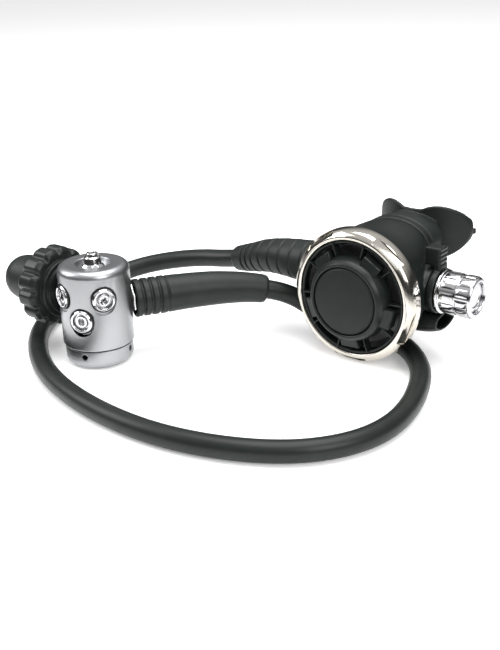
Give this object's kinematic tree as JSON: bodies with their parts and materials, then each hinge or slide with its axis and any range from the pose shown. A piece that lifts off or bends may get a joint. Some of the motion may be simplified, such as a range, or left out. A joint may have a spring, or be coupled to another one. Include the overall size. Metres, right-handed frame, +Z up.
{
  "type": "scuba regulator set",
  "caption": "Scuba regulator set: silver first stage with a screw-in cylinder connector, black hose, and a round second stage with purge button and mouthpiece.",
  "frame": {"origin": "middle of the first stage's flat base, on the surface the set lies on", "axes": "+Z up, +X along the second stage's valve barrel towards the adjusting knob, +Y from the second stage's cover to its mouthpiece"},
  "size_m": [0.2681, 0.232, 0.078],
  "materials": {
    "satin_metal": "satin pearl",
    "bright_chrome": "polished",
    "steel_ring": "polished",
    "plain_brass": "machined",
    "spring_steel": "drawn",
    "black_plastic": "satin",
    "soft_rubber": "soft",
    "hose_rubber": "satin",
    "seal_rubber": "smooth",
    "clear_silicone": "smooth",
    "white_plastic": "moulded"
  },
  "bodies": {
    "set": {"first_stage_body": "satin_metal", "end_cap": "satin_metal", "spring_adjuster": "plain_brass", "main_spring": "spring_steel", "first_stage_diaphragm": "seal_rubber", "high_pressure_seat": "plain_brass", "high_poppet_spring": "spring_steel", "top_plug": "bright_chrome", "port_plugs": "bright_chrome", "port_plug_o_rings": "seal_rubber", "connector_bolt": "bright_chrome", "connector_o_ring": "seal_rubber", "connector_filter": "plain_brass", "hose": "hose_rubber", "hose_sleeve": "soft_rubber", "hose_boot": "soft_rubber", "hose_fitting": "bright_chrome", "hose_fitting_o_ring": "seal_rubber", "swivel_nut": "bright_chrome", "hose_ferrule": "bright_chrome", "retaining_ring": "steel_ring", "front_cover": "black_plastic", "demand_diaphragm": "clear_silicone", "second_stage_housing": "black_plastic", "valve_barrel": "bright_chrome", "inlet_orifice": "plain_brass", "exhaust_valve": "clear_silicone", "exhaust_tee": "soft_rubber", "mouthpiece": "soft_rubber", "mouthpiece_tie": "black_plastic"},
    "pressure_valve": {"spring_pad": "plain_brass", "lifter": "plain_brass", "high_pressure_poppet": "white_plastic"},
    "handwheel": {"handwheel": "black_plastic", "connector_post": "bright_chrome"},
    "dust_cap": {"dust_cap": "soft_rubber"},
    "adjusting_knob": {"adjusting_knob": "bright_chrome", "knob_end_disc": "bright_chrome", "adjusting_spindle": "plain_brass", "spindle_o_ring": "seal_rubber"},
    "airflow_lever": {"airflow_lever": "black_plastic"},
    "purge_button": {"purge_button": "soft_rubber"},
    "diaphragm_plate": {"diaphragm_plate": "spring_steel"},
    "demand_lever": {"demand_lever": "spring_steel"},
    "demand_valve": {"demand_poppet": "white_plastic", "poppet_seat": "seal_rubber", "demand_poppet_spring": "spring_steel"}
  },
  "joints": [
    {"name": "pressure_valve_lift", "type": "slide", "parent": "set", "child": "pressure_valve", "axis": [0, 0, 1], "range_m": [0, 0.0008], "stiffness_N_per_m": 4000, "springref_m": -0.0001, "deforming": ["main_spring", "high_poppet_spring", "first_stage_diaphragm"]},
    {"name": "handwheel_turn", "type": "hinge", "parent": "set", "child": "handwheel", "pos_m": [-0.0345, 0, 0.038], "axis": [1, 0, 0], "continuous": true},
    {"name": "dust_cap_pull", "type": "slide", "parent": "handwheel", "child": "dust_cap", "axis": [-1, 0, 0], "range_m": [0, 0.03]},
    {"name": "adjusting_knob_turn", "type": "hinge", "parent": "set", "child": "adjusting_knob", "pos_m": [0.1723, 0.1063, 0.0429], "axis": [1, 0, 0], "range_deg": [-720, 720]},
    {"name": "airflow_lever_swing", "type": "hinge", "parent": "set", "child": "airflow_lever", "pos_m": [0.1563, 0.1063, 0.0429], "axis": [1, 0, 0], "range_deg": [-40, 0]},
    {"name": "purge_press", "type": "slide", "parent": "set", "child": "purge_button", "axis": [0, 1, 0], "range_m": [0, 0.003], "stiffness_N_per_m": 600, "springref_m": -0.0005},
    {"name": "diaphragm_move", "type": "slide", "parent": "set", "child": "diaphragm_plate", "axis": [0, 1, 0], "range_m": [0, 0.003]},
    {"name": "demand_lever_swing", "type": "hinge", "parent": "set", "child": "demand_lever", "pos_m": [0.1143, 0.1023, 0.0429], "axis": [0, 0, 1], "range_deg": [0, 12]},
    {"name": "demand_valve_open", "type": "slide", "parent": "set", "child": "demand_valve", "axis": [1, 0, 0], "range_m": [0, 0.0008]}
  ],
  "couplings": [
    {"joint": "diaphragm_move", "follows": "purge_press", "ratio": 1},
    {"joint": "demand_lever_swing", "follows": "purge_press", "rad_per_m": 64.2},
    {"joint": "demand_valve_open", "follows": "purge_press", "ratio": 0.25}
  ]
}
